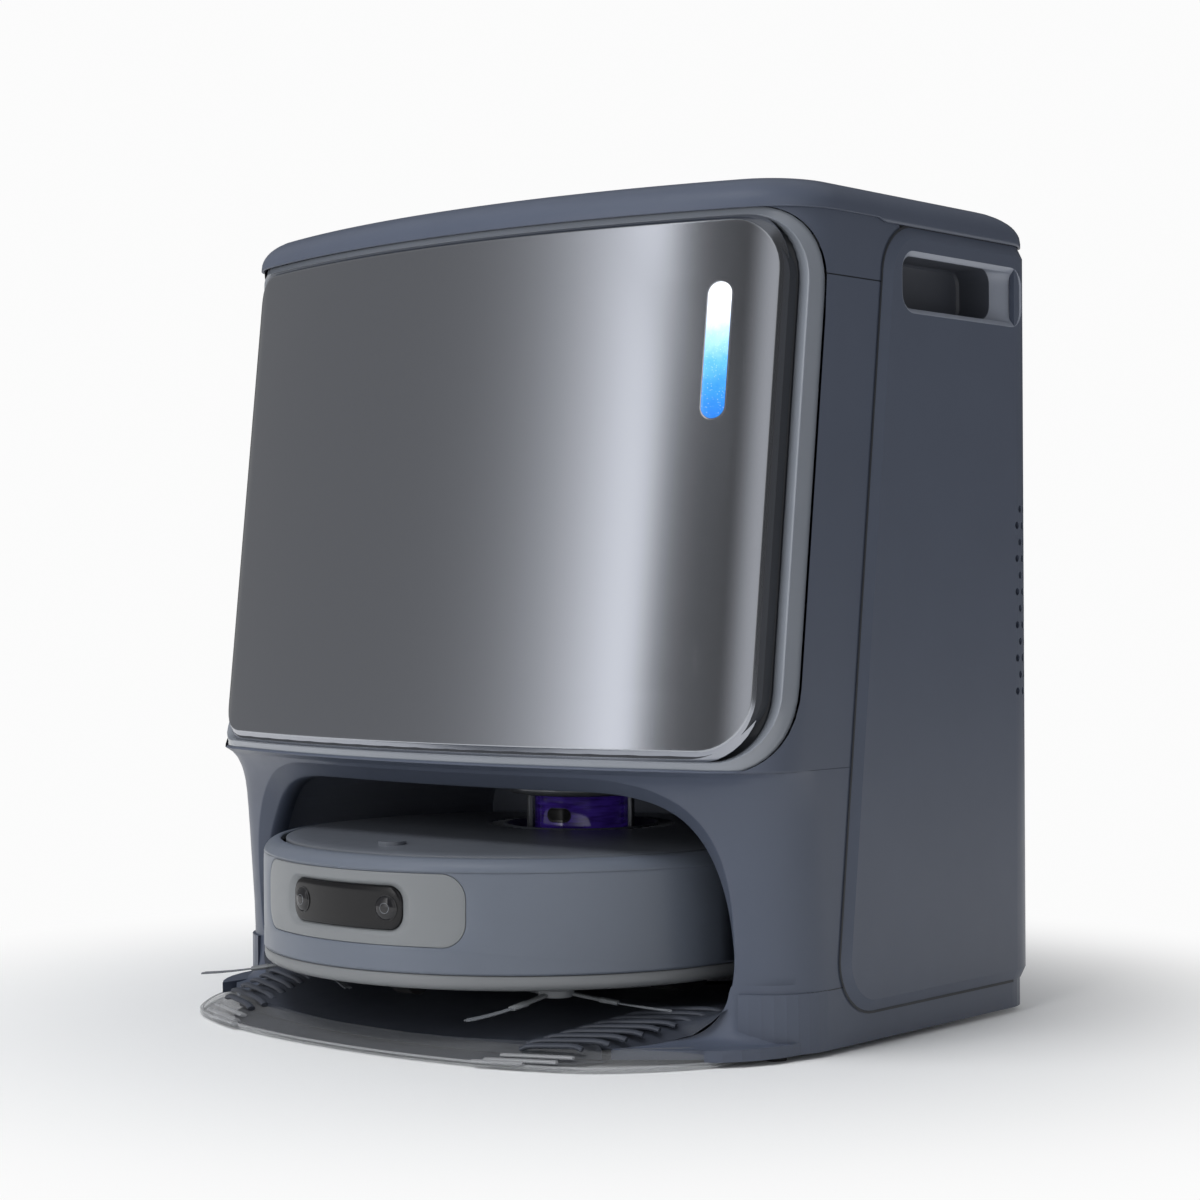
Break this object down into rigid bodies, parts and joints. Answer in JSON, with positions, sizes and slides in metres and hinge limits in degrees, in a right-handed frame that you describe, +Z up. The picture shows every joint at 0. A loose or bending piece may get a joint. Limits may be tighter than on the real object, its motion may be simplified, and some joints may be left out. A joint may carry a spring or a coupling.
{
  "type": "robot vacuum with base station",
  "caption": "Leaning, steel-fronted cleaning station with a round robot vacuum and mop docked in the arched bay at its foot.",
  "frame": {"origin": "on the floor, in the middle of the footprint", "axes": "+Z up, -Y towards the front, the way the robot drives out, +X to the side that carries the indicator window"},
  "size_m": [0.455, 0.38, 0.485],
  "materials": {
    "slate_shell": "satin moulded slate-grey plastic",
    "slate_robot": "satin moulded blue-grey plastic",
    "dark_plastic": "fine-textured dark plastic",
    "tray_plastic": "satin dark blue-grey plastic",
    "door_steel": "brushed steel with a vertical grain",
    "bright_trim": "polished plastic frame with bright edges",
    "clear_apron": "clear smoked plastic",
    "lamp_window": "lit diffuser, white to blue",
    "black_gloss": "gloss black window",
    "lens_glass": "dark coated lens",
    "lidar_purple": "deep violet tinted plastic",
    "silver_cap": "satin silver",
    "rubber": "matt rubber",
    "clear_tank": "clear tank plastic",
    "smoked_tank": "smoked tank plastic",
    "white_plastic": "satin white plastic",
    "bag_fleece": "non-woven filter fleece",
    "filter_foam": "open-cell filter foam",
    "motor_black": "glass-filled black plastic",
    "steel_parts": "bright steel",
    "contact_brass": "gold-plated contact",
    "circuit_green": "solder-masked board",
    "bristle_grey": "grey elastomer arms and bristles",
    "mop_fabric": "looped microfibre",
    "fan_grey": "moulded impeller"
  },
  "bodies": {
    "station": {"base_plinth": "slate_shell", "base_feet": "rubber", "wash_tray": "tray_plastic", "ramp_apron": "clear_apron", "front_housing": "slate_shell", "bay_liner": "dark_plastic", "rear_wrap": "slate_shell", "handle_cup_left": "dark_plastic", "handle_cup_right": "dark_plastic", "exhaust_filter": "filter_foam", "door_frame": "bright_trim", "inner_frame": "dark_plastic", "clean_water_tank": "clear_tank", "waste_water_tank": "smoked_tank", "tank_handles": "white_plastic", "detergent_bottle": "white_plastic", "dust_bag": "bag_fleece", "bag_holder": "white_plastic", "dust_duct": "dark_plastic", "suction_motor": "motor_black", "water_pump": "motor_black", "drying_fan_housing": "dark_plastic", "power_supply": "steel_parts", "power_inlet": "dark_plastic", "indicator_board": "circuit_green", "door_magnets": "steel_parts", "lid_hinges": "steel_parts", "housing_screws": "steel_parts"},
    "lid": {"top_lid": "slate_shell", "lid_inset": "tray_plastic"},
    "door": {"front_door": "dark_plastic", "door_skin": "door_steel", "indicator_window": "lamp_window"},
    "dock_contacts": {"charging_contacts": "contact_brass"},
    "fan_rotor": {"drying_fan_rotor": "fan_grey"},
    "robot": {"robot_chassis": "dark_plastic", "robot_rear_shell": "slate_robot", "robot_top_cover": "dark_plastic", "robot_battery": "motor_black", "robot_dust_bin": "smoked_tank", "robot_fan": "motor_black", "brush_cover": "dark_plastic", "lidar_cap": "silver_cap"},
    "robot_bumper": {"bumper": "slate_robot", "bumper_plate": "slate_robot", "camera_window": "black_gloss", "camera_lenses": "lens_glass"},
    "lidar": {"lidar_rotor": "lidar_purple"},
    "button": {"power_button": "silver_cap"},
    "arm_left": {"wheel_arm_left": "dark_plastic"},
    "arm_right": {"wheel_arm_right": "dark_plastic"},
    "wheel_left": {"drive_wheel_left": "rubber"},
    "wheel_right": {"drive_wheel_right": "rubber"},
    "caster_swivel": {"caster_fork": "dark_plastic"},
    "caster": {"caster_wheel": "rubber"},
    "brush_left": {"side_brush_left": "bristle_grey"},
    "brush_right": {"side_brush_right": "bristle_grey"},
    "roller": {"main_brush": "bristle_grey"},
    "mop_left": {"mop_disc_left": "mop_fabric"},
    "mop_right": {"mop_disc_right": "mop_fabric"}
  },
  "joints": [
    {"name": "lid_hinge", "type": "hinge", "parent": "station", "child": "lid", "pos_m": [0, 0.184, 0.467], "axis": [-1, 0, 0], "range_deg": [0, 75]},
    {"name": "door_pull", "type": "slide", "parent": "station", "child": "door", "axis": [0, -1, 0], "range_m": [0, 0.1]},
    {"name": "robot_undock", "type": "slide", "parent": "station", "child": "robot", "axis": [0, -1, 0], "range_m": [0, 0.34]},
    {"name": "contact_press", "type": "slide", "parent": "station", "child": "dock_contacts", "axis": [0, 1, 0], "range_m": [0, 0.003], "stiffness_N_per_m": 400, "springref_m": -0.001},
    {"name": "fan_spin", "type": "hinge", "parent": "station", "child": "fan_rotor", "pos_m": [0.12, 0.158, 0.092], "axis": [0, 1, 0], "continuous": true},
    {"name": "bumper_press", "type": "slide", "parent": "robot", "child": "robot_bumper", "axis": [0, 1, 0], "range_m": [0, 0.0025], "stiffness_N_per_m": 400, "springref_m": -0.003},
    {"name": "lidar_spin", "type": "hinge", "parent": "robot", "child": "lidar", "pos_m": [0, 0.0185, 0.12], "axis": [0, 0, 1], "continuous": true},
    {"name": "button_press", "type": "slide", "parent": "robot", "child": "button", "axis": [0, 0, -1], "range_m": [0, 0.001], "stiffness_N_per_m": 300, "springref_m": -0.001},
    {"name": "suspension_left", "type": "hinge", "parent": "robot", "child": "arm_left", "pos_m": [-0.112, -0.074, 0.068], "axis": [1, 0, 0], "range_deg": [0, 10], "stiffness_Nm_per_rad": 2, "springref_deg": -11.46},
    {"name": "suspension_right", "type": "hinge", "parent": "robot", "child": "arm_right", "pos_m": [0.112, -0.074, 0.068], "axis": [1, 0, 0], "range_deg": [0, 10], "stiffness_Nm_per_rad": 2, "springref_deg": -11.46},
    {"name": "wheel_left_spin", "type": "hinge", "parent": "arm_left", "child": "wheel_left", "pos_m": [-0.112, -0.028, 0.06], "axis": [1, 0, 0], "continuous": true},
    {"name": "wheel_right_spin", "type": "hinge", "parent": "arm_right", "child": "wheel_right", "pos_m": [0.112, -0.028, 0.06], "axis": [1, 0, 0], "continuous": true},
    {"name": "caster_turn", "type": "hinge", "parent": "robot", "child": "caster_swivel", "pos_m": [0, -0.14, 0.058], "axis": [0, 0, 1], "continuous": true},
    {"name": "caster_roll", "type": "hinge", "parent": "caster_swivel", "child": "caster", "pos_m": [0, -0.132, 0.036], "axis": [1, 0, 0], "continuous": true},
    {"name": "side_brush_left_spin", "type": "hinge", "parent": "robot", "child": "brush_left", "pos_m": [-0.1, -0.118, 0.033], "axis": [0, 0, 1], "continuous": true},
    {"name": "side_brush_right_spin", "type": "hinge", "parent": "robot", "child": "brush_right", "pos_m": [0.1, -0.118, 0.033], "axis": [0, 0, 1], "continuous": true},
    {"name": "main_brush_spin", "type": "hinge", "parent": "robot", "child": "roller", "pos_m": [0, -0.08, 0.046], "axis": [1, 0, 0], "continuous": true},
    {"name": "mop_left_spin", "type": "hinge", "parent": "robot", "child": "mop_left", "pos_m": [-0.062, 0.052, 0.028], "axis": [0, 0, 1], "continuous": true},
    {"name": "mop_right_spin", "type": "hinge", "parent": "robot", "child": "mop_right", "pos_m": [0.062, 0.052, 0.028], "axis": [0, 0, 1], "continuous": true}
  ],
  "couplings": [
    {"joint": "mop_right_spin", "follows": "mop_left_spin", "ratio": -1}
  ]
}
